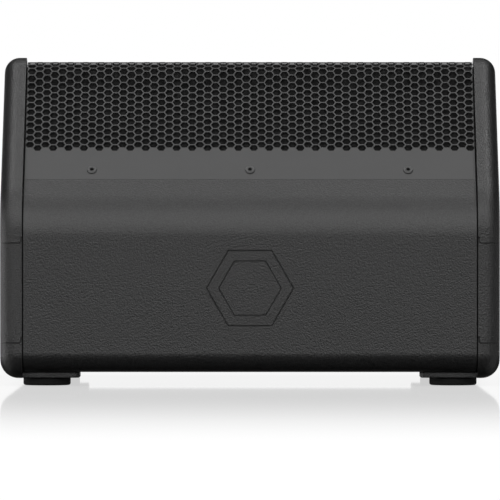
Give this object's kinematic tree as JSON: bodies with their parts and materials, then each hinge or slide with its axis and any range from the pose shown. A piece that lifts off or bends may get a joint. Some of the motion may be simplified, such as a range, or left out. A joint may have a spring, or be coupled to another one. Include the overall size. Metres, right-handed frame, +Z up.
{
  "type": "stage monitor wedge",
  "caption": "Low stage monitor wedge: textured cabinet between moulded cheeks, hexagon-hole grille over the ridge, coaxial loudspeaker inside, amplifier and sockets in a side recess.",
  "frame": {"origin": "on the floor, under the centre of the cabinet's box", "axes": "+X to the right when looking at the emblem panel, +Y from the emblem panel towards the performer, +Z up"},
  "size_m": [0.484, 0.442, 0.3205],
  "materials": {
    "cabinet_paint": "textured black water-based paint on birch plywood",
    "cheek_moulding": "leather-grained black moulding",
    "grille_paint": "satin black powder coat on perforated steel",
    "foam": "open-cell black acoustic foam",
    "black_steel": "black coated steel",
    "rubber_feet": "matt black rubber",
    "grip_rubber": "soft ribbed rubber",
    "plywood": "black-sprayed plywood, bare at the edges",
    "cast_alloy": "cast aluminium, black paint",
    "cone_paper": "treated paper pulp",
    "spider_cloth": "resin-dipped woven cloth",
    "copper_wire": "enamelled copper winding",
    "zinc_steel": "zinc plated steel",
    "ferrite": "bare ferrite",
    "black_plastic": "fine-sparked black nylon",
    "dome_metal": "thin spun metal",
    "circuit_board": "solder-masked glass laminate",
    "bare_aluminium": "extruded, bare",
    "capacitor_sleeve": "heat-shrunk sleeve",
    "knob_plastic": "satin black knob with a white line",
    "green_lens": "diffused lens",
    "red_lens": "diffused lens",
    "grey_button": "smooth moulded cap",
    "cable_sheath": "soft cable sheath",
    "felt": "grey polyester wadding"
  },
  "bodies": {
    "cabinet": {"rear_panel": "cabinet_paint", "bottom_panel": "cabinet_paint", "front_lip": "cabinet_paint", "left_cheek": "cheek_moulding", "right_cheek": "cheek_moulding", "handle_dish": "cheek_moulding", "connector_dish": "cheek_moulding", "grille": "grille_paint", "grille_foam": "foam", "grille_screw_rear_1": "black_steel", "grille_screw_rear_2": "black_steel", "grille_screw_rear_3": "black_steel", "grille_screw_front_1": "black_steel", "grille_screw_front_2": "black_steel", "grille_screw_front_3": "black_steel", "input_panel": "black_steel", "foot_1": "rubber_feet", "foot_2": "rubber_feet", "foot_3": "rubber_feet", "foot_4": "rubber_feet", "left_gasket": "rubber_feet", "right_gasket": "rubber_feet", "woofer_surround": "rubber_feet", "handle_grip": "grip_rubber", "baffle_board": "plywood", "woofer_basket": "cast_alloy", "hf_housing": "cast_alloy", "woofer_spider": "spider_cloth", "power_transformer": "copper_wire", "top_plate": "zinc_steel", "pole_yoke": "zinc_steel", "level_pot": "zinc_steel", "magnet_ring": "ferrite", "hf_horn": "black_plastic", "port_tube_left": "black_plastic", "port_tube_right": "black_plastic", "mains_inlet": "black_plastic", "rocker_frame": "black_plastic", "input_jack": "black_plastic", "link_jack": "black_plastic", "mode_switch": "black_plastic", "amp_board": "circuit_board", "heat_sink": "bare_aluminium", "smoothing_cap_1": "capacitor_sleeve", "smoothing_cap_2": "capacitor_sleeve", "signal_led": "green_lens", "limit_led": "red_lens", "woofer_lead": "cable_sheath", "hf_lead": "cable_sheath", "damping_felt": "felt"},
    "cone_and_coil": {"woofer_cone": "cone_paper", "voice_coil": "copper_wire"},
    "dome": {"hf_diaphragm": "dome_metal"},
    "level_control": {"level_knob": "knob_plastic", "level_shaft": "bare_aluminium"},
    "power_switch": {"power_rocker": "black_plastic"},
    "mode_key": {"mode_button": "grey_button"},
    "latch_key": {"input_latch": "zinc_steel"},
    "fuse_holder": {"fuse_drawer": "black_plastic"}
  },
  "joints": [
    {"name": "cone_travel", "type": "slide", "parent": "cabinet", "child": "cone_and_coil", "axis": [0, 0.6428, 0.766], "range_m": [-0.005, 0.005], "stiffness_N_per_m": 4000, "deforming": ["woofer_surround", "woofer_spider"]},
    {"name": "dome_travel", "type": "slide", "parent": "cabinet", "child": "dome", "axis": [0, 0.6428, 0.766], "range_m": [-0.0003, 0.0003], "stiffness_N_per_m": 3000},
    {"name": "level_turn", "type": "hinge", "parent": "cabinet", "child": "level_control", "pos_m": [0.2116, -0.072, 0.094], "axis": [1, 0, 0], "range_deg": [-150, 150]},
    {"name": "power_rock", "type": "hinge", "parent": "cabinet", "child": "power_switch", "pos_m": [0.207, -0.026, 0.094], "axis": [0, 1, 0], "range_deg": [-16, 0]},
    {"name": "mode_press", "type": "slide", "parent": "cabinet", "child": "mode_key", "axis": [-1, 0, 0], "range_m": [0, 0.002], "stiffness_N_per_m": 300},
    {"name": "latch_press", "type": "slide", "parent": "cabinet", "child": "latch_key", "axis": [-1, 0, 0], "range_m": [0, 0.0018], "stiffness_N_per_m": 400},
    {"name": "fuse_slide", "type": "slide", "parent": "cabinet", "child": "fuse_holder", "axis": [1, 0, 0], "range_m": [0, 0.018]}
  ]
}
